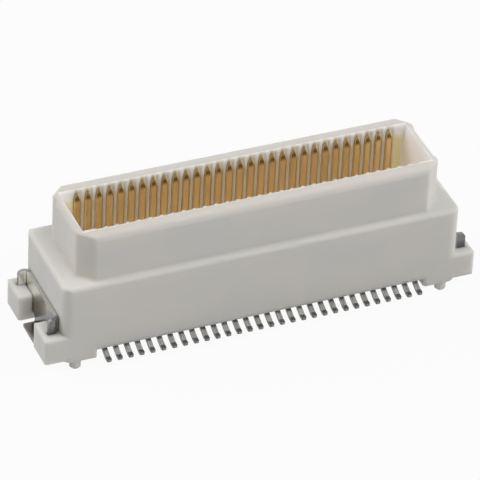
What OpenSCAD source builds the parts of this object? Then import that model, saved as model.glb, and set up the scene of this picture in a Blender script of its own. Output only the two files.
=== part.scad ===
// Two-row board connector: a shrouded header with 0.6 mm contact pitch.
// X runs along the rows, Y across them, and Z up from the board.
// The origin lies on the board, midway between the rows and the ends.

/* [Contact rows] */
// Distance from one contact to the next along a row
pitch = 0.6; // [0.5:0.05:0.8]
// Distance between the facing blades of the two rows
rows_apart = 3.1; // [2.7:0.05:4.2]
// Width of a contact blade
blade_w = 0.38; // [0.26:0.01:0.42]
// Thickness of the contact strip
strip_t = 0.15; // [0.1:0.01:0.18]
// Distance that the blades stand out from the ribs between them
blade_stand = 0.05; // [0.01:0.01:0.08]
// Width of the coined bevels along the front edges of a blade
blade_bevel = 0.07; // [0.02:0.01:0.09]
// Distance from the rim down to the ends of the blades
blade_drop = 0.25; // [0.15:0.05:0.8]
// Length of the tapered end of a blade
tip_l = 0.38; // [0.1:0.02:0.5]
// Width of a blade at its very end
tip_w = 0.2; // [0.1:0.02:0.24]
// Thickness that the coined bevel leaves at the end of a blade
tip_t = 0.06; // [0.04:0.01:0.1]

/* [Leads] */
// Width of a lead
lead_w = 0.26; // [0.18:0.02:0.32]
// Distance between the lead ends across both rows
lead_span = 7; // [6.8:0.1:8]
// Length of the flat part of a lead that is soldered
lead_foot_l = 0.24; // [0.16:0.02:0.4]
// Height of the straight run under the housing above the board
lead_rise = 0.3; // [0.16:0.01:0.32]
// Angle in degrees at which a lead slopes down to its flat part
lead_slope = 24; // [20:1:34]
// Width of the small bevels beside the end of a lead
lead_bevel = 0.05; // [0.02:0.01:0.07]
// Inner radius of the bends in a lead
lead_bend_r = 0.15; // [0.14:0.01:0.2]

/* [Shroud] */
// Height of the shroud above the ledge
shroud_h = 2.65; // [2:0.05:4]
// Thickness of the long walls at the ribs
side_wall = 0.92; // [0.7:0.05:1.4]
// Thickness of the end walls
end_wall = 0.45; // [0.35:0.05:0.9]
// Length from the last contact to the end of the cavity
end_room = 0.85; // [0.5:0.05:1.5]
// Depth of the cavity below the rim
cavity_depth = 4.75; // [4.2:0.05:5.5]
// Height of the lead-in slopes around the mouth
lead_in_h = 0.5; // [0.2:0.05:1]
// Width of the lead-in slope along the long sides
side_lead_in = 0.08; // [0.03:0.01:0.12]
// Width of the lead-in slope at the ends
end_lead_in = 0.1; // [0.04:0.01:0.2]
// Size of the chamfered upright corners
corner_chamfer = 0.8; // [0.5:0.05:0.95]
// Radius of the outer edge of the rim along the long sides and between the end posts
rim_r = 0.3; // [0.2:0.02:0.44]
// Radius of the outer edge of the rim at the corner posts
post_r = 0.1; // [0.04:0.01:0.15]
// Length of the rounded part of an end rim, measured at its lower side
dip_w = 2.4; // [1.6:0.1:2.8]
// Radius of the fillet at the foot of the shroud
foot_r = 0.14; // [0.05:0.01:0.16]

/* [Base] */
// Height of the base block
base_h = 4.12; // [3.8:0.02:6]
// Width of the ledge along the long sides
side_ledge = 0.38; // [0.34:0.02:1]
// Width of the ledge at the ends
end_ledge = 1; // [0.8:0.05:2]
// Height of the underside above the board
standoff = 0.5; // [0.46:0.01:0.6]
// Radius of the upper edges of the base
ledge_r = 0.22; // [0.1:0.02:0.32]
// Radius of the upright corners of the base
base_corner_r = 0.5; // [0.1:0.05:0.6]
// Height of the channels under the rows that the leads bend in
channel_h = 0.6; // [0.4:0.05:0.9]
// Room between a lead and the inner side of its channel
channel_room = 0.2; // [0.1:0.05:0.4]
// Thickness of the wall outside a channel
channel_wall = 0.35; // [0.25:0.05:0.5]

/* [Lugs] */
// Reach of the lugs beyond the end of the base
lug_reach = 1; // [0.95:0.05:1.5]
// Width of each lug
lug_w = 1.82; // [1.6:0.02:1.9]
// Height of the lugs
lug_h = 1.47; // [1.2:0.02:1.8]
// Height of the underside of the lugs above the board
lug_lift = 0.18; // [0.05:0.01:0.3]
// Radius of the outer edges of the lugs
lug_edge_r = 0.16; // [0.05:0.01:0.2]

/* [Pads and pegs] */
// Length of a standing pad under a corner of the base
pad_l = 1.86; // [1.4:0.02:2.2]
// Width of a standing pad
pad_w = 0.8; // [0.75:0.05:1]
// Radius of the inner corners of a pad
pad_corner_r = 0.15; // [0.1:0.01:0.25]
// Diameter of the locating pegs
peg_d = 0.6; // [0.4:0.05:0.65]
// Length of the pegs below the board plane
peg_l = 0.55; // [0.4:0.05:1.2]
// Chamfer at the end of a peg
peg_chamfer = 0.1; // [0.05:0.01:0.15]
// Distance from the end of the base to the centre of a peg
peg_inset = 0.75; // [0.6:0.05:1]

/* [Hold-down fittings] */
// Thickness of the fitting sheet
sheet_t = 0.2; // [0.1:0.02:0.24]
// Width of a fitting over its two wings
fitting_w = 4.66; // [4.3:0.02:4.9]
// Reach of the wings from the back of the plate
wing_reach = 0.62; // [0.46:0.02:0.76]
// Height of the fitting above the lugs
fitting_rise = 0.85; // [0.4:0.05:1.4]
// Height of the lower edge of the plate above the board
plate_lift = 0.62; // [0.5:0.02:0.9]
// Inner radius of the bends in the sheet
sheet_bend_r = 0.1; // [0.06:0.01:0.2]
// Radius of the outer corners of the wings
wing_corner_r = 0.24; // [0.05:0.01:0.3]
// Width of the solder tab
tab_w = 1.56; // [1.2:0.02:1.8]
// Radius of the fillets where the tab leaves the plate
tab_neck_r = 0.2; // [0.1:0.01:0.24]
// Reach of the solder tab from the back of the plate
tab_reach = 0.82; // [0.7:0.02:1.1]

/* [Fits] */
// Clearance on each side of a contact in its groove
groove_fit = 0.03; // [0.01:0.005:0.05]
// Clearance behind a blade in its groove
groove_room = 0.06; // [0.02:0.01:0.1]
// Clearance around a contact in the slot through the floor
slot_fit = 0.02; // [0.01:0.005:0.04]
// Clearance around a fitting in the slots of the lugs
fitting_fit = 0.03; // [0.01:0.005:0.05]

/* [Hidden] */
$fn = 48;

// Each contact node holds neighbouring contacts of one row as separate solids.
GROUPS = 15;
GROUP_SIZE = 2;
positions = GROUPS * GROUP_SIZE;
// Overlap of cutting shapes past the faces that they cut
over = 0.5;
// Depth that a concave fillet bites into the faces it joins, so that it crosses both cleanly
fillet_bite = 0.002;
// Straight steps that make up each bend of a contact
BEND_STEPS = 6;

// Heights above the board
underside_z = standoff;
ledge_z = underside_z + base_h;
rim_z = ledge_z + shroud_h;
floor_z = rim_z - cavity_depth;
channel_z = underside_z + channel_h;
blade_top_z = rim_z - blade_drop;
lug_top_z = lug_lift + lug_h;
fitting_top_z = lug_top_z + fitting_rise;
run_top_z = lead_rise + strip_t;

// Half lengths along the rows
row_x = (positions - 1) * pitch / 2;
cavity_x = row_x + end_room;
shroud_x = cavity_x + end_wall;
base_x = shroud_x + end_ledge;
peg_x = base_x - peg_inset;

// Half widths across the rows
blade_y = rows_apart / 2;
blade_back_y = blade_y + strip_t;
cavity_y = blade_y + blade_stand;
groove_y = blade_back_y + groove_room;
slot_y = blade_back_y + slot_fit;
shroud_y = cavity_y + side_wall;
base_y = shroud_y + side_ledge;
peg_y = base_y - peg_d / 2 - slot_fit;
lead_y = lead_span / 2;

// Distance from the middle of the shroud to its chamfered corners
corner_span = (shroud_x + shroud_y - corner_chamfer) / sqrt(2);

// Contact outline
groove_w = blade_w + 2 * groove_fit;
bend_mid_r = lead_bend_r + strip_t / 2;
bend_out_r = lead_bend_r + strip_t;
// Two equal bends and the slope between them lower the run onto the board.
slope_l = (lead_rise - 2 * bend_mid_r * (1 - cos(lead_slope))) / sin(lead_slope);
step_l = 2 * bend_mid_r * sin(lead_slope) + slope_l * cos(lead_slope);
foot_y = lead_y - lead_foot_l;
step_y = foot_y - step_l;
first_bend_y = blade_back_y + lead_bend_r;
first_bend_z = run_top_z + lead_bend_r;
// The blade narrows to the lead inside the floor.
shoulder_z = (floor_z + channel_z) / 2;

// Plan of a block with rounded upright corners
module round_plan(half_l, half_w, r) {
    square([2 * half_l, 2 * (half_w - r)], center = true);
    square([2 * (half_l - r), 2 * half_w], center = true);
    for (sx = [-1, 1], sy = [-1, 1])
        translate([sx * (half_l - r), sy * (half_w - r)]) circle(r);
}

// Upright outline, centred across, with rounded upper corners
module round_top(half_w, bottom, top, r) {
    translate([-half_w, bottom]) square([2 * half_w, top - bottom - r]);
    translate([r - half_w, bottom]) square([2 * (half_w - r), top - bottom]);
    for (s = [-1, 1])
        translate([s * (half_w - r), top - r]) circle(r);
}

// Extrudes an upright outline along X: outline x becomes Y, outline y becomes Z.
module along_x(from, to) {
    translate([from, 0, 0]) rotate([90, 0, 90]) linear_extrude(to - from) children();
}

// Extrudes an upright outline along Y: outline x stays X, outline y becomes Z.
module along_y(from, to) {
    translate([0, to, 0]) rotate([90, 0, 0]) linear_extrude(to - from) children();
}

// Block whose plan is the child, with rounded upper edges on all four sides
module soft_block(half_l, half_w, bottom, top, r) {
    intersection() {
        translate([0, 0, bottom]) linear_extrude(top - bottom) children();
        along_x(-half_l - over, half_l + over) round_top(half_w, bottom - over, top, r);
        along_y(-half_w - over, half_w + over) round_top(half_l, bottom - over, top, r);
    }
}

// Upright outline of the shroud across one direction, with a rounded rim
module wall_outline(half_w, r) {
    round_top(half_w, ledge_z - over, rim_z, r);
    foot_outline(half_w);
}

// Foot of an upright outline, with concave fillets down to the ledge
module foot_outline(half_w) {
    reach = foot_r - fillet_bite;
    difference() {
        translate([-half_w - reach, ledge_z - over]) square([2 * (half_w + reach), reach + over]);
        for (s = [-1, 1])
            translate([s * (half_w + reach), ledge_z + reach]) circle(foot_r);
    }
}

// Shroud: bars in four directions meet in one block with chamfered upright corners
module shroud() {
    far = 2 * shroud_x;
    difference() {
        intersection() {
            along_x(-far, far) wall_outline(shroud_y, rim_r);
            along_y(-far, far) wall_outline(shroud_x, post_r);
            intersection_for (a = [-45, 45])
                rotate(a) along_x(-far, far) wall_outline(corner_span, post_r);
        }
        for (sx = [0, 1]) mirror([sx, 0, 0]) end_dip();
    }
}

// Rounds the rim of the right end between its corner posts, whose flanks slope at 45 degrees
module end_dip() {
    low = rim_z - rim_r;
    intersection() {
        along_y(-shroud_y, shroud_y) difference() {
            translate([shroud_x - rim_r, low]) square(rim_r + over);
            translate([shroud_x - rim_r, low]) circle(rim_r);
        }
        along_x(row_x, base_x) polygon([
            [over - dip_w / 2, low - over],
            [dip_w / 2 - over, low - over],
            [dip_w / 2 + rim_r + over, rim_z + over],
            [-dip_w / 2 - rim_r - over, rim_z + over]
        ]);
    }
}

module base_block() {
    soft_block(base_x, base_y, underside_z, ledge_z, ledge_r) round_plan(base_x, base_y, base_corner_r);
}

// Standing pads under the four corners of the base, flush with its sides and round at the inner end
module pads() {
    r = pad_corner_r;
    from = base_x - pad_l;
    linear_extrude(standoff + over) intersection() {
        round_plan(base_x, base_y, base_corner_r);
        for (sx = [0, 1], sy = [0, 1]) mirror([sx, 0]) mirror([0, sy]) {
            translate([from + r, base_y - pad_w]) square([pad_l, pad_w]);
            translate([from, base_y - pad_w + r]) square([pad_l, pad_w - 2 * r]);
            for (y = [base_y - r, base_y - pad_w + r]) translate([from + r, y]) circle(r);
        }
    }
}

// Pair of lugs at the right end, flush with the long sides of the base and rooted in its corners
module lugs() {
    half_l = (lug_reach + base_corner_r) / 2;
    for (sy = [-1, 1])
        translate([base_x + lug_reach - half_l, sy * (base_y - lug_w / 2), 0])
            soft_block(half_l, lug_w / 2, lug_lift, lug_top_z, lug_edge_r)
                lug_plan(half_l, lug_w / 2, lug_edge_r);
}

// Rectangle with its two corners at the right rounded
module lug_plan(half_l, half_w, r) {
    translate([-half_l, -half_w]) square([2 * half_l - r, 2 * half_w]);
    translate([-half_l, r - half_w]) square([2 * half_l, 2 * (half_w - r)]);
    for (s = [-1, 1]) translate([half_l - r, s * (half_w - r)]) circle(r);
}

// Locating peg: one lathe-turned outline below the pad
module peg() {
    r = peg_d / 2;
    rotate_extrude() polygon([
        [0, -peg_l],
        [r - peg_chamfer, -peg_l],
        [r, peg_chamfer - peg_l],
        [r, over / 2],
        [0, over / 2]
    ]);
}

// Mouth of the cavity: two upright outlines meet in mitred lead-in slopes
module mouth() {
    intersection() {
        along_x(-cavity_x - over, cavity_x + over) mouth_outline(cavity_y, side_lead_in);
        along_y(-cavity_y - over, cavity_y + over) mouth_outline(cavity_x, end_lead_in);
    }
}

module mouth_outline(half_w, slope_w) {
    // Sideways growth of the slope over its part above the rim
    past = slope_w * over / lead_in_h;
    polygon([
        [-half_w, rim_z - lead_in_h - over],
        [half_w, rim_z - lead_in_h - over],
        [half_w, rim_z - lead_in_h],
        [half_w + slope_w + past, rim_z + over],
        [-half_w - slope_w - past, rim_z + over],
        [-half_w, rim_z - lead_in_h]
    ]);
}

module cavity() {
    translate([-cavity_x, -cavity_y, floor_z]) cube([2 * cavity_x, 2 * cavity_y, cavity_depth - lead_in_h]);
    mouth();
}

// Grooves of one row, open at the rim
module grooves() {
    along_y(cavity_y - over, groove_y)
        for (k = [0 : positions - 1]) translate([k * pitch - row_x - groove_w / 2, floor_z])
            square([groove_w, cavity_depth + over]);
}

// Slots of one row, from the cavity floor down into the channel
module slots() {
    along_y(blade_y - slot_fit, slot_y)
        for (k = [0 : positions - 1]) translate([k * pitch - row_x - groove_w / 2, channel_z - over])
            square([groove_w, floor_z - channel_z + 2 * over]);
}

// Channel of one row that the leads bend in
module channel() {
    half_l = row_x + groove_w / 2 + channel_room;
    from = blade_y - channel_room;
    translate([-half_l, from, underside_z - over])
        cube([2 * half_l, base_y - channel_wall - from, channel_h + over]);
}

// Plan of the right fitting grown by a clearance: plate and two wings
module fitting_plan(grow) {
    t = sheet_t + 2 * grow;
    inner_r = sheet_bend_r - grow;
    outer_r = sheet_bend_r + sheet_t + grow;
    w = fitting_w / 2 + grow;
    difference() {
        translate([-grow, -w]) fitting_corner_plan(wing_reach + 2 * grow, 2 * w, outer_r);
        translate([t - grow, t - w]) fitting_corner_plan(wing_reach + over, 2 * (w - t), inner_r);
    }
}

// Rectangle with its two corners on the plate's side rounded
module fitting_corner_plan(l, w, r) {
    translate([r, 0]) square([l - r, w]);
    translate([0, r]) square([l, w - 2 * r]);
    for (y = [r, w - r]) translate([r, y]) circle(r);
}

// Slots in the right lugs that the fitting is pressed into from above
module fitting_slot() {
    bottom = plate_lift - fitting_fit;
    translate([base_x + fitting_fit, 0, bottom]) linear_extrude(lug_top_z - bottom + over) fitting_plan(fitting_fit);
}

module right_fitting() {
    translate([base_x + fitting_fit, 0, 0]) {
        // Plate and wings, with rounded outer corners on the wings
        intersection() {
            translate([0, 0, plate_lift]) linear_extrude(fitting_top_z - plate_lift) fitting_plan(0);
            along_y(-fitting_w, fitting_w) wing_outline();
        }
        // Concave fillets between the lower edge of the plate and the neck of the tab
        along_x(0, sheet_t) for (sy = [0, 1]) mirror([sy, 0]) neck_fillet();
        // Solder tab, bent outward from the plate onto the board
        along_y(-tab_w / 2, tab_w / 2) {
            bend_at = sheet_t + sheet_bend_r;
            translate([0, bend_at]) square([sheet_t, plate_lift + sheet_t - bend_at]);
            translate([bend_at, bend_at]) intersection() {
                difference() {
                    circle(bend_at);
                    circle(sheet_bend_r);
                }
                translate([-bend_at, -bend_at]) square(bend_at);
            }
            translate([bend_at, 0]) square([tab_reach - bend_at, sheet_t]);
        }
    }
}

// Upright outline of the fillet beside the neck, on the side where outline x is positive
module neck_fillet() {
    reach = tab_neck_r - fillet_bite;
    difference() {
        translate([tab_w / 2 - sheet_t, plate_lift - reach]) square([sheet_t + reach, reach + sheet_t]);
        translate([tab_w / 2 + reach, plate_lift - reach]) circle(tab_neck_r);
    }
}

module wing_outline() {
    r = wing_corner_r;
    translate([-over, 0]) square([wing_reach + over - r, fitting_top_z]);
    translate([-over, 0]) square([wing_reach + over, fitting_top_z - r]);
    translate([wing_reach - r, fitting_top_z - r]) circle(r);
}

module fitting(side) {
    color([0.62, 0.62, 0.63]) if (side > 0) right_fitting(); else mirror([1, 0, 0]) right_fitting();
}

module housing() {
    color([0.9, 0.89, 0.84]) difference() {
        union() {
            base_block();
            shroud();
            pads();
            for (sx = [0, 1]) mirror([sx, 0, 0]) {
                lugs();
                translate([peg_x, -peg_y, 0]) peg();
            }
        }
        cavity();
        for (sy = [0, 1]) mirror([0, sy, 0]) {
            grooves();
            slots();
            channel();
        }
        for (sx = [0, 1]) mirror([sx, 0, 0]) fitting_slot();
    }
}

// Points on a bend about a centre, from one angle to another
function bend(centre, r, from, to) = [
    for (i = [0 : BEND_STEPS]) let (a = from + (to - from) * i / BEND_STEPS) centre + r * [cos(a), sin(a)]
];

// Side outline of one contact of the far row, from the blade's tip to the lead's end and back
module contact_outline() {
    tail_bend = [first_bend_y, first_bend_z];
    drop_bend = [step_y, lead_rise - lead_bend_r];
    foot_bend = [foot_y, bend_out_r];
    polygon(concat(
        [[blade_y, blade_top_z - tip_l]],
        bend(tail_bend, bend_out_r, 180, 270),
        bend(drop_bend, lead_bend_r, 90, 90 - lead_slope),
        bend(foot_bend, bend_out_r, 270 - lead_slope, 270),
        [[lead_y, 0], [lead_y, strip_t]],
        bend(foot_bend, lead_bend_r, 270, 270 - lead_slope),
        bend(drop_bend, bend_out_r, 90 - lead_slope, 90),
        bend(tail_bend, lead_bend_r, 270, 180),
        [[blade_back_y, blade_top_z], [blade_back_y - tip_t, blade_top_z]]
    ));
}

// Front outline of one contact: wide blade with a tapered end, narrow lead
module contact_front() {
    polygon([
        [-lead_w / 2, -over],
        [lead_w / 2, -over],
        [lead_w / 2, shoulder_z],
        [blade_w / 2, shoulder_z],
        [blade_w / 2, blade_top_z - tip_l],
        [tip_w / 2, blade_top_z],
        [-tip_w / 2, blade_top_z],
        [-blade_w / 2, blade_top_z - tip_l],
        [-blade_w / 2, shoulder_z],
        [-lead_w / 2, shoulder_z]
    ]);
}

// Plan of one contact: bevelled front edges on the blade, bevelled corners at the end of the lead
module contact_plan() {
    bevel_y = lead_y - lead_bevel;
    polygon([
        [blade_bevel - blade_w / 2, blade_y],
        [blade_w / 2 - blade_bevel, blade_y],
        [blade_w / 2, blade_y + blade_bevel],
        [blade_w / 2, bevel_y],
        [lead_w / 2, bevel_y],
        [lead_w / 2 - lead_bevel, lead_y],
        [lead_bevel - lead_w / 2, lead_y],
        [-lead_w / 2, bevel_y],
        [-blade_w / 2, bevel_y],
        [-blade_w / 2, blade_y + blade_bevel]
    ]);
}

module contact() {
    intersection() {
        along_x(-blade_w / 2, blade_w / 2) contact_outline();
        along_y(0, lead_y + over) contact_front();
        translate([0, 0, -over]) linear_extrude(rim_z + 2 * over) contact_plan();
    }
}

// One group of contacts of a row: side -1 is the near row, 1 the far row
module contacts(side, group) {
    color([0.78, 0.62, 0.3])
        for (k = [0 : GROUP_SIZE - 1])
            translate([(group * GROUP_SIZE + k) * pitch - row_x, 0, 0])
                mirror([0, side < 0 ? 1 : 0, 0]) contact();
}

function group_name(row, group) = str(row, "_contacts_", group < 9 ? "0" : "", group + 1);

housing();
fitting(-1);  // fitting_left
fitting(1);  // fitting_right
for (g = [0 : GROUPS - 1])
    contacts(-1, g);
for (g = [0 : GROUPS - 1])
    contacts(1, g);
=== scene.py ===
import math

import bpy
import numpy as np
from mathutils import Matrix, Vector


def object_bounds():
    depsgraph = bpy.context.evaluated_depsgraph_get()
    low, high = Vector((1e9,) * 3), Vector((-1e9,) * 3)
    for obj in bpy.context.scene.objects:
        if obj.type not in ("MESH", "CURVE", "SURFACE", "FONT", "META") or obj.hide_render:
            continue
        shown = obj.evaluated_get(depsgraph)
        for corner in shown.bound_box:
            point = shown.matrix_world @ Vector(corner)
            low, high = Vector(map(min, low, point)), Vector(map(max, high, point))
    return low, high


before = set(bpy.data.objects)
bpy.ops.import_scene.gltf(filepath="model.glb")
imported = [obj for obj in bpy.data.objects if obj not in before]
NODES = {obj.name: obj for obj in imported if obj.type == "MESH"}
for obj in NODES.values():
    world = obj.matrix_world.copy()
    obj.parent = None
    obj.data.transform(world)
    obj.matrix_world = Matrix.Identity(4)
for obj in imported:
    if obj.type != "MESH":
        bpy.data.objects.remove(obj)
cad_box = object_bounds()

MM = 0.001
# Spacing of the contacts along X, in millimetres; the rows are centred on X = 0
PITCH = 0.6
# Most of what a noise node gives lies between these two.
MOST = (0.3, 0.7)


class Wire:
    """One output socket of a material being made; the operators add its Math nodes."""

    def __init__(self, finish, socket):
        self.finish, self.socket = finish, socket

    def math(self, operation, *others):
        inputs = dict(enumerate((self, *others)))
        return self.finish.node("ShaderNodeMath", {"operation": operation}, inputs)

    def __add__(self, other):
        return self.math("ADD", other)

    __radd__ = __add__

    def __mul__(self, other):
        return self.math("MULTIPLY", other)

    __rmul__ = __mul__

    def __neg__(self):
        return self.math("MULTIPLY", -1.0)

    def __sub__(self, other):
        return self.math("SUBTRACT", other)

    def __rsub__(self, other):
        return -self + other

    def __abs__(self):
        return self.math("ABSOLUTE")


def opaque(colour):
    """Three linear colour values as the four that a colour socket takes."""
    return (*colour, 1.0)


class Finish:
    """A material or the studio's world in the making, and the one method that adds its nodes."""

    def __init__(self, owner):
        self.owner = owner
        owner.use_nodes = True
        self.tree = owner.node_tree
        self.tree.nodes.clear()

    def node(self, kind, settings=None, inputs=None, output=0):
        """Adds a node: settings first, then each input's value or link; returns one output."""
        made = self.tree.nodes.new(kind)
        for name, value in (settings or {}).items():
            setattr(made, name, value)
        for name, value in (inputs or {}).items():
            if isinstance(value, Wire):
                self.tree.links.new(value.socket, made.inputs[name])
            else:
                made.inputs[name].default_value = value
        return Wire(self, made.outputs[output]) if made.outputs else None

    def place(self):
        """Position on the object, in metres, as a vector."""
        return self.node("ShaderNodeTexCoord", output="Object")

    def along(self, axis):
        """Position along an axis of the object, in millimetres; Z is the height above the board."""
        return self.node("ShaderNodeSeparateXYZ", inputs={0: self.place()}, output=axis) * (1 / MM)

    def beside_contact(self):
        """Distance along X from the nearest contact's middle, in millimetres, minus to the left."""
        return ((self.along("X") * (1 / PITCH)).math("FRACT") - 0.5) * PITCH

    def facing(self, axis):
        """How far the surface faces along an axis of the object, from 0 to 1, on either side."""
        normal = self.node("ShaderNodeNewGeometry", output="Normal")
        return abs(self.node("ShaderNodeSeparateXYZ", inputs={0: normal}, output=axis))

    def noise(self, size_mm, detail, stretch=(1, 1, 1)):
        """Noise from 0 to 1 with features of that size, stretched along the axes."""
        scale = [1 / (size_mm * MM * s) for s in stretch]
        moved = self.node("ShaderNodeMapping", inputs={"Vector": self.place(), "Scale": scale})
        inputs = {"Vector": moved, "Scale": 1.0, "Detail": detail}
        return self.node("ShaderNodeTexNoise", inputs=inputs)

    def span(self, value, limits, results):
        """value carried smoothly from its two limits to the two results, held at both ends."""
        inputs = dict(enumerate((value, *limits, *results)))
        return self.node("ShaderNodeMapRange", {"interpolation_type": "SMOOTHSTEP"}, inputs)

    def rise(self, value, limits):
        """0 up to the first limit, 1 from the second on."""
        return self.span(value, limits, (0.0, 1.0))

    def drop(self, value, limits):
        """1 up to the first limit, 0 from the second on."""
        return self.span(value, limits, (1.0, 0.0))

    def blend(self, share, one, other):
        """Colour one where share is 0, other where it is 1."""
        one, other = (c if isinstance(c, Wire) else opaque(c) for c in (one, other))
        inputs = {0: share, 6: one, 7: other}
        return self.node("ShaderNodeMix", {"data_type": "RGBA"}, inputs, output=2)

    def blend_value(self, share, one, other):
        """Number one where share is 0, other where it is 1."""
        return one + share * (other - one)

    def relief(self, height, depth_mm, normal=None):
        """Bump of that depth for a height from 0 to 1, over another normal if one is given."""
        inputs = {"Height": height, "Distance": depth_mm * MM, "Strength": 1.0}
        if normal is not None:
            inputs["Normal"] = normal
        return self.node("ShaderNodeBump", inputs=inputs)

    def surface(self, **inputs):
        """Ends the material with a Principled shader; its sockets' names, with _ for a space."""
        named = {name.replace("_", " "): value for name, value in inputs.items()}
        return self.end(self.node("ShaderNodeBsdfPrincipled", inputs=named))

    def end(self, shader, kind="ShaderNodeOutputMaterial"):
        self.node(kind, inputs={"Surface": shader})
        return self.owner


def new_material(name):
    return Finish(bpy.data.materials.new(name))


# The housing. Places are in millimetres, from the middle along X and Y and from the board along Z.
IVORY = (0.735, 0.718, 0.687)
IVORY_WARM = (0.758, 0.733, 0.683)
IVORY_GREY = (0.711, 0.701, 0.681)
GRAIN_BLEND, GRAIN_SHARE = (0.35, 0.65), (0.0, 0.35)
# Roughness in grey and in warm clouds, and what the grain adds
IVORY_ROUGH, GRAIN_ROUGH = (0.58, 0.5), 0.06
# Depth of the grain, radius over which the edges shade softly, and how far light passes into
# the plastic, by colour
GRAIN_DEPTH = 0.002
EDGE_SOFTNESS = 0.26
SCATTER_COLOUR, SCATTER_DEPTH = (1.0, 0.96, 0.88), 0.6

# The rim is a little darker and warmer.
IVORY_RIM = (0.685, 0.65, 0.61)
RIM_Z = (7.0, 7.2)

# Painted light: the cavity's inner faces are paler, for light passing through the thin walls.
IVORY_INNER_LIGHT = (0.975, 0.975, 0.965)
CAVITY_X, CAVITY_Y, CAVITY_Z = (9.66, 9.7), (1.82, 1.86), (2.4, 2.5)

# The long walls are painted warm with the gold's reflected light, a painted reflection. It fades
# out towards the rim, where the grooves keep about a third of it.
IVORY_GOLD_REFLECTION = (1.0, 0.85, 0.57)
GOLD_REFLECTION_SHARE = 0.9
WALL_FRONT_Y, WALL_BACK_Y = (1.45, 1.56), (1.8, 1.84)
GOLD_REFLECTION_X, GOLD_REFLECTION_Z = (9.3, 9.65), (6.4, 7.1)
GROOVE_REFLECTION_Y, GROOVE_REFLECTION = (1.66, 1.72), (0.0, 0.35)

# The groove behind each tip is painted brown with the tip's shadow, a painted shadow that fades
# towards the rim. The shadow ends with the row, short of the shroud's corners.
IVORY_TIP_SHADOW = (0.54, 0.43, 0.27)
GROOVE_Y, ROW_X = (1.68, 1.72), (9.0, 9.1)
SHADE_BESIDE = (0.03, 0.14)
SHADE_FOOT_Z, SHADE_FADE_Z, SHADE_FADE = (6.4, 6.6), (6.95, 7.35), (1.0, 0.2)


def inside_cavity(f):
    """1 on the faces of the cavity, 0 elsewhere."""
    across = f.drop(abs(f.along("Y")), CAVITY_Y)
    ends = f.drop(abs(f.along("X")), CAVITY_X)
    return across * ends * f.rise(f.along("Z"), CAVITY_Z)


def painted_gold_reflection(f):
    """1 on the long walls of the cavity, fading towards the rim, and 0 elsewhere."""
    across = abs(f.along("Y"))
    wall = f.rise(across, WALL_FRONT_Y) * f.drop(across, WALL_BACK_Y)
    groove = f.span(across, GROOVE_REFLECTION_Y, GROOVE_REFLECTION)
    depth = f.drop(f.along("Z"), GOLD_REFLECTION_Z).math("MAXIMUM", groove)
    return wall * f.drop(abs(f.along("X")), GOLD_REFLECTION_X) * depth


def painted_tip_shadow(f):
    """1 on the groove walls behind the tips, fading to the sides and to the rim, 0 elsewhere."""
    across = abs(f.along("Y"))
    wall = f.rise(across, GROOVE_Y) * f.drop(across, WALL_BACK_Y)
    column = f.drop(abs(f.beside_contact()), SHADE_BESIDE)
    row = f.drop(abs(f.along("X")), ROW_X)
    up = f.along("Z")
    height = f.span(up, SHADE_FADE_Z, SHADE_FADE) * f.rise(up, SHADE_FOOT_Z)
    return wall * column * row * height


def ivory_plastic():
    """Moulded liquid-crystal polymer: satin, faint flow clouding and a fine spark-eroded grain."""
    f = new_material("ivory_polymer")
    flow = f.noise(size_mm=1.9, detail=4.0, stretch=(2.4, 1, 1))
    grain = f.noise(size_mm=0.09, detail=2.0)
    colour = f.blend(f.rise(flow, MOST), IVORY_GREY, IVORY_WARM)
    colour = f.blend(f.span(grain, GRAIN_BLEND, GRAIN_SHARE), colour, IVORY)
    colour = f.blend(f.rise(f.along("Z"), RIM_Z), colour, IVORY_RIM)
    # Painted light inside the cavity
    colour = f.blend(inside_cavity(f), colour, IVORY_INNER_LIGHT)
    # Painted reflection of the gold on the long walls
    colour = f.blend(painted_gold_reflection(f) * GOLD_REFLECTION_SHARE, colour, IVORY_GOLD_REFLECTION)
    # Painted shadow of each tip on the groove behind it
    colour = f.blend(painted_tip_shadow(f), colour, IVORY_TIP_SHADOW)
    softened = f.node("ShaderNodeBevel", {"samples": 8}, {"Radius": EDGE_SOFTNESS * MM})
    return f.surface(
        Base_Color=colour,
        Roughness=f.span(flow, MOST, IVORY_ROUGH) + grain * GRAIN_ROUGH,
        Normal=f.relief(grain, GRAIN_DEPTH, softened),
        IOR=1.5,
        Specular_IOR_Level=0.25,
        Subsurface_Weight=0.9,
        Subsurface_Radius=SCATTER_COLOUR,
        Subsurface_Scale=SCATTER_DEPTH * MM,
    )


# The contacts. The gold ends inside the floor, and the leads below it are tinned.
PLATING_Z = (1.6, 1.9)
GOLD = (0.88, 0.65, 0.34)
GOLD_DEEP = (0.75, 0.58, 0.27)
# Painted shade: faces turned along X, the sides of blades and leads, are darker for what they
# reflect.
GOLD_SIDE_SHADE = (0.64, 0.46, 0.23)
TIN = (0.28, 0.28, 0.267)
TIN_DARK = (0.19, 0.19, 0.18)
TIN_SIDE_SHADE = (0.13, 0.13, 0.123)
EDGE_FACING = (0.4, 0.6)
DEEP_SHARE = (0.0, 0.6)
TIN_BLEND = (0.3, 0.75)
GOLD_ROUGH, TIN_ROUGH = (0.42, 0.52), (0.24, 0.36)
DRAWN_DEPTH = 0.0006
# The tips are painted brown where the taper starts, a painted shade, and paler at their ends.
TIP_SHADE, TIP_PALE = (0.21, 0.108, 0.023), (0.44, 0.37, 0.2)
TIP_Z, TIP_END_Z = (6.54, 6.78), (6.8, 7.04)
# Flanks brighter, most on the right, a painted light from the right; they widen up from the taper's
# start.
FLANK_LEFT_SHADED, FLANK_RIGHT_LIT = (0.57, 0.44, 0.24), (0.87, 0.76, 0.54)
FLANK_BESIDE, FLANK_SIDES = (0.15, 0.19), (-0.03, 0.03)
TAPER_Z, FLANK_LEAN = 6.6, 0.27


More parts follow.
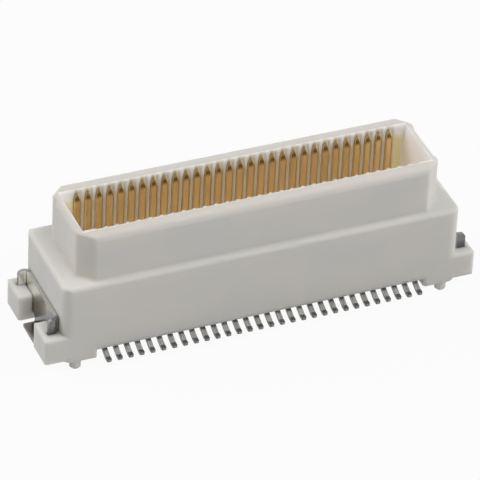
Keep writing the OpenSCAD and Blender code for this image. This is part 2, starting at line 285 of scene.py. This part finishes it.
def painted_tip(f):
    """Colour of a tip: its middle by height, and its flanks by side."""
    up, beside = f.along("Z"), f.beside_contact()
    middle = f.blend(f.rise(up, TIP_END_Z), TIP_SHADE, TIP_PALE)
    flanks = f.blend(f.rise(beside, FLANK_SIDES), FLANK_LEFT_SHADED, FLANK_RIGHT_LIT)
    widened = abs(beside) + (up - TAPER_Z) * FLANK_LEAN
    return f.blend(f.rise(widened, FLANK_BESIDE), middle, flanks)


def plated_contact():
    """Gold-plated blade above the floor and tinned lead below, with drawn lines along the strip."""
    f = new_material("plated_strip")
    plated = f.rise(f.along("Z"), PLATING_Z)
    # Painted shade on the faces turned along X
    edge = f.rise(f.facing("X"), EDGE_FACING)
    drawn = f.noise(size_mm=0.06, detail=2.0, stretch=(1, 14, 14))
    patch = f.noise(size_mm=0.9, detail=2.0, stretch=(1, 1, 3))
    gold = f.blend(f.span(patch, MOST, DEEP_SHARE), GOLD, GOLD_DEEP)
    gold = f.blend(edge, gold, GOLD_SIDE_SHADE)
    # Painted shade and light on the tips
    gold = f.blend(f.rise(f.along("Z"), TIP_Z), gold, painted_tip(f))
    tin = f.blend(f.rise(drawn, TIN_BLEND), TIN_DARK, TIN)
    tin = f.blend(edge, tin, TIN_SIDE_SHADE)
    rough = [f.span(drawn, MOST, ends) for ends in (TIN_ROUGH, GOLD_ROUGH)]
    return f.surface(
        Base_Color=f.blend(plated, tin, gold),
        Metallic=1.0,
        Roughness=f.blend_value(plated, *rough),
        Normal=f.relief(drawn, DRAWN_DEPTH),
    )


# The hold-down fittings: a plate across each end, with a wing on either side and a tab below
SHEET = (0.34, 0.34, 0.335)
SHEET_DARK = (0.24, 0.24, 0.238)
# How much of its normal lies along an axis, for a face that counts as turned that way
FACING = (0.7, 0.95)
# Upward faces of the plate and tab are painted brighter, a painted light from above
SHEET_LIT_TOP = (0.6, 0.59, 0.56)
PLATE_Y = (1.9, 2.1)
# Painted reflection of the ivory: inner faces of the wings, their bends and the far upper plate
SHEET_PALE_REFLECTION = (0.8, 0.79, 0.73)
BEND_X, BEND_Y = (11.3, 11.45), (2.1, 2.2)
BEND_FACING_X, BEND_FACING_Y = (0.2, 0.4), (0.6, 0.97)
# Outer faces of the wings, painted dark, a painted shade for the dark that they reflect
WING_SHADE = (0.185, 0.185, 0.19)
WING_OUTER_Y = (2.2, 2.25)
# Painted shadow of the lug at the plate's near lower corner, then a warmer and paler painted
# reflection across it.
SHEET_SHADE = (0.1, 0.1, 0.105)
SHEET_WARM_REFLECTION = (0.34, 0.32, 0.26)
PLATE_MIDDLE_Z, PLATE_SLOPE = 2.0, 1.3
PLATE_WARM, PLATE_PALE = (-1.6, -0.2), (-0.2, 0.9)
# Roughness in dark and in light clouds, and what the rolling lines add
SHEET_ROUGH, ROLLED_ROUGH = (0.12, 0.22), 0.04
WAVE_DEPTH, ROLLED_DEPTH = 0.012, 0.0004


def plate_face(f):
    """Colour of the plate's faces, from the near lower corner to the far upper one."""
    rising = f.along("Y") + (f.along("Z") - PLATE_MIDDLE_Z) * PLATE_SLOPE
    face = f.blend(f.rise(rising, PLATE_WARM), SHEET_SHADE, SHEET_WARM_REFLECTION)
    return f.blend(f.rise(rising, PLATE_PALE), face, SHEET_PALE_REFLECTION)


def at_bend(f):
    """1 at the bends between the plate and the wings, 0 elsewhere."""
    turned = f.drop(f.facing("Y"), BEND_FACING_Y) * f.rise(f.facing("X"), BEND_FACING_X)
    return turned * f.rise(abs(f.along("Y")), BEND_Y) * f.drop(abs(f.along("X")), BEND_X)


def tin_sheet():
    """Bright tin over rolled sheet: mirror-like, with a soft waviness and faint rolling lines."""
    f = new_material("tin_sheet")
    rolled = f.noise(size_mm=0.06, detail=2.0, stretch=(1, 12, 1))
    cloud = f.noise(size_mm=0.7, detail=3.0)
    wave = f.noise(size_mm=1.1, detail=1.0)
    across = abs(f.along("Y"))
    plate = f.drop(across, PLATE_Y)
    upward = f.rise(f.facing("Z"), FACING)
    # Painted reflection on the wings' inner faces, painted shade on their outer ones
    wing = f.blend(f.rise(across, WING_OUTER_Y), SHEET_PALE_REFLECTION, WING_SHADE)
    colour = f.blend(f.rise(cloud, MOST), SHEET_DARK, SHEET)
    colour = f.blend(f.rise(f.facing("Y"), FACING), colour, wing)
    # Painted shadow and reflection across the plate
    colour = f.blend(f.rise(f.facing("X"), FACING) * plate, colour, plate_face(f))
    # Painted reflection on the bends
    colour = f.blend(at_bend(f), colour, SHEET_PALE_REFLECTION)
    # Painted light on the upward faces of the plate and tab
    colour = f.blend(upward * plate, colour, SHEET_LIT_TOP)
    colour = f.blend(upward * (1.0 - plate), colour, SHEET_DARK)
    return f.surface(
        Base_Color=colour,
        Metallic=1.0,
        Roughness=f.span(cloud, MOST, SHEET_ROUGH) + rolled * ROLLED_ROUGH,
        Normal=f.relief(wave, WAVE_DEPTH, f.relief(rolled, ROLLED_DEPTH)),
    )


for slot, finish, nodes in (
    ("housing", ivory_plastic(), ["housing"]),
    ("fitting", tin_sheet(), ["fitting_left", "fitting_right"]),
    ("contact", plated_contact(), [n for n in NODES if "contacts" in n]),
):
    for node in nodes:
        NODES[node].data.materials.clear()
        NODES[node].data.materials.append(finish)


# The studio. The floor lies a hair below the object.
FLOOR_GAP = 0.02 * MM
FLOOR_Z = cad_box[0][2] - FLOOR_GAP
# Half of its side, in metres
FLOOR_HALF = 1.2
WHITE = (1.0, 1.0, 1.0)
PAPER, PAPER_FIBRE = (0.66, 0.66, 0.655), (0.68, 0.68, 0.675)
# Share of plain white in place of the lit floor, for the camera's and for mirror rays
WHITE_SHARE = 0.94
# The same share for light's soft bounces, as over a light table
GLOW_SHARE = 0.2
# Strength of the air's own light
AIR_LIGHT = 0.125


def straight_rays(f):
    """1 for rays from the camera and for mirror and glass rays, 0 for light's soft bounces."""
    rays = ("Is Camera Ray", "Is Glossy Ray", "Is Transmission Ray")
    camera, mirror, glass = (f.node("ShaderNodeLightPath", output=ray) for ray in rays)
    return camera + mirror + glass


def paper_floor():
    """Matt white paper; the camera's and mirror rays see it mostly as plain white."""
    f = new_material("paper")
    fibre = f.noise(size_mm=1.5, detail=4.0)
    paper = f.node("ShaderNodeBsdfDiffuse", inputs={
        "Color": f.blend(f.rise(fibre, MOST), PAPER, PAPER_FIBRE),
        "Roughness": 0.5,
    })
    white = f.node("ShaderNodeEmission", inputs={"Color": opaque(WHITE), "Strength": 1.0})
    share = f.blend_value(straight_rays(f), GLOW_SHARE, WHITE_SHARE)
    return f.end(f.node("ShaderNodeMixShader", inputs={0: share, 1: paper, 2: white}))


def studio_air():
    """Even soft light from all round, seen as plain white."""
    f = Finish(bpy.data.worlds.new("studio"))
    light, plain = (
        f.node("ShaderNodeBackground", inputs={"Color": opaque(WHITE), "Strength": strength})
        for strength in (AIR_LIGHT, 1.0)
    )
    seen = f.node("ShaderNodeMixShader", inputs={0: straight_rays(f), 1: light, 2: plain})
    return f.end(seen, "ShaderNodeOutputWorld")


def linked(name, data):
    """New object with that mesh, lamp or camera, in the scene."""
    made = bpy.data.objects.new(name, data)
    bpy.context.scene.collection.objects.link(made)
    return made


def flat_sheet(name, half, z, material):
    """Square at height z: its corners stand half to either side of the middle along X and Y."""
    corners = np.array([[-1, -1], [1, -1], [1, 1], [-1, 1]]) * half
    mesh = bpy.data.meshes.new(name)
    mesh.from_pydata(np.column_stack([corners, np.full(4, z)]).tolist(), [], [(0, 1, 2, 3)])
    mesh.materials.append(material)
    return linked(name, mesh)


flat_sheet("paper_ground", FLOOR_HALF, FLOOR_Z, paper_floor())
bpy.context.scene.world = studio_air()


def stand(made, right, up, back, spot):
    """Puts a lamp or camera at spot; right, up and back are its own axes in the scene."""
    turned = np.eye(4)
    turned[:3] = np.column_stack([right, up, back, spot])
    made.matrix_world = turned.T


# The point that the lamps face, and their distance from it in metres
LIT_SPOT = np.array((0, 0, 4)) * MM
LAMP_DISTANCE = 0.6


def lamp(name, azimuth, elevation, size, strength):
    """Square soft box that faces the object. The azimuth turns from the near side (0) through the
    right end (90) to the far side (180). A white surface that faces it renders as strength."""
    az, el = np.radians([azimuth, elevation])
    back = np.array((math.sin(az) * math.cos(el), -math.cos(az) * math.cos(el), math.sin(el)))
    right = np.array((math.cos(az), math.sin(az), 0))
    data = bpy.data.lights.new(name, "AREA")
    data.shape, data.size = "SQUARE", size
    # A lamp of power P shines P / pi per steradian along its axis.
    data.energy = strength * math.pi**2 * LAMP_DISTANCE**2
    stand(linked(name, data), right, np.cross(back, right), back, LIT_SPOT + back * LAMP_DISTANCE)


# Name, azimuth and elevation in degrees, side in metres, strength
for box in (
    ("top_box", 0, 86, 0.5, 0.04),
    ("left_box", -124, 42, 0.35, 0.48),
    ("right_box", 76, 24, 0.45, 0.4),
    ("front_box", 22, 62, 0.35, 0.37),
    ("back_box", 180, 40, 0.35, 0.05),
):
    lamp(*box)


# The camera, fitted to the photo: pinhole with its axis through the frame's centre
AIMED_AT = np.array((0, 0, 3.7)) * MM
AZIMUTH, ELEVATION, ROLL = 23.779, 36.108, 2.755
DISTANCE = 234.307 * MM
FOCAL_PX, FRAME_PX = 4520.975, 480
# Where the aimed point stands in the frame, in pixels from its left and upper edges
AIM_U, AIM_V = 244.3, 232.722
SENSOR_MM = 36.0
NEAREST, FURTHEST = 0.01, 10


def place_camera():
    """Camera of the fit: turned by azimuth, elevation and roll, and moved sideways so that the
    aimed point stands at its place in the frame."""
    az, el, roll = np.radians([AZIMUTH, ELEVATION, ROLL])
    ahead = np.array((math.sin(az) * math.cos(el), math.cos(az) * math.cos(el), -math.sin(el)))
    level = np.array((math.cos(az), -math.sin(az), 0))
    steep = np.cross(level, ahead)
    right = level * math.cos(roll) + steep * math.sin(roll)
    up = steep * math.cos(roll) - level * math.sin(roll)
    across = (AIM_U - FRAME_PX / 2) / FOCAL_PX * DISTANCE
    above = -(AIM_V - FRAME_PX / 2) / FOCAL_PX * DISTANCE
    data = bpy.data.cameras.new("camera")
    data.sensor_width, data.lens = SENSOR_MM, FOCAL_PX / FRAME_PX * SENSOR_MM
    data.clip_start, data.clip_end = NEAREST, FURTHEST
    made = linked("camera", data)
    stand(made, right, up, -ahead, AIMED_AT - ahead * DISTANCE - right * across - up * above)
    bpy.context.scene.camera = made


place_camera()
bpy.context.scene.view_settings.view_transform = "Standard"
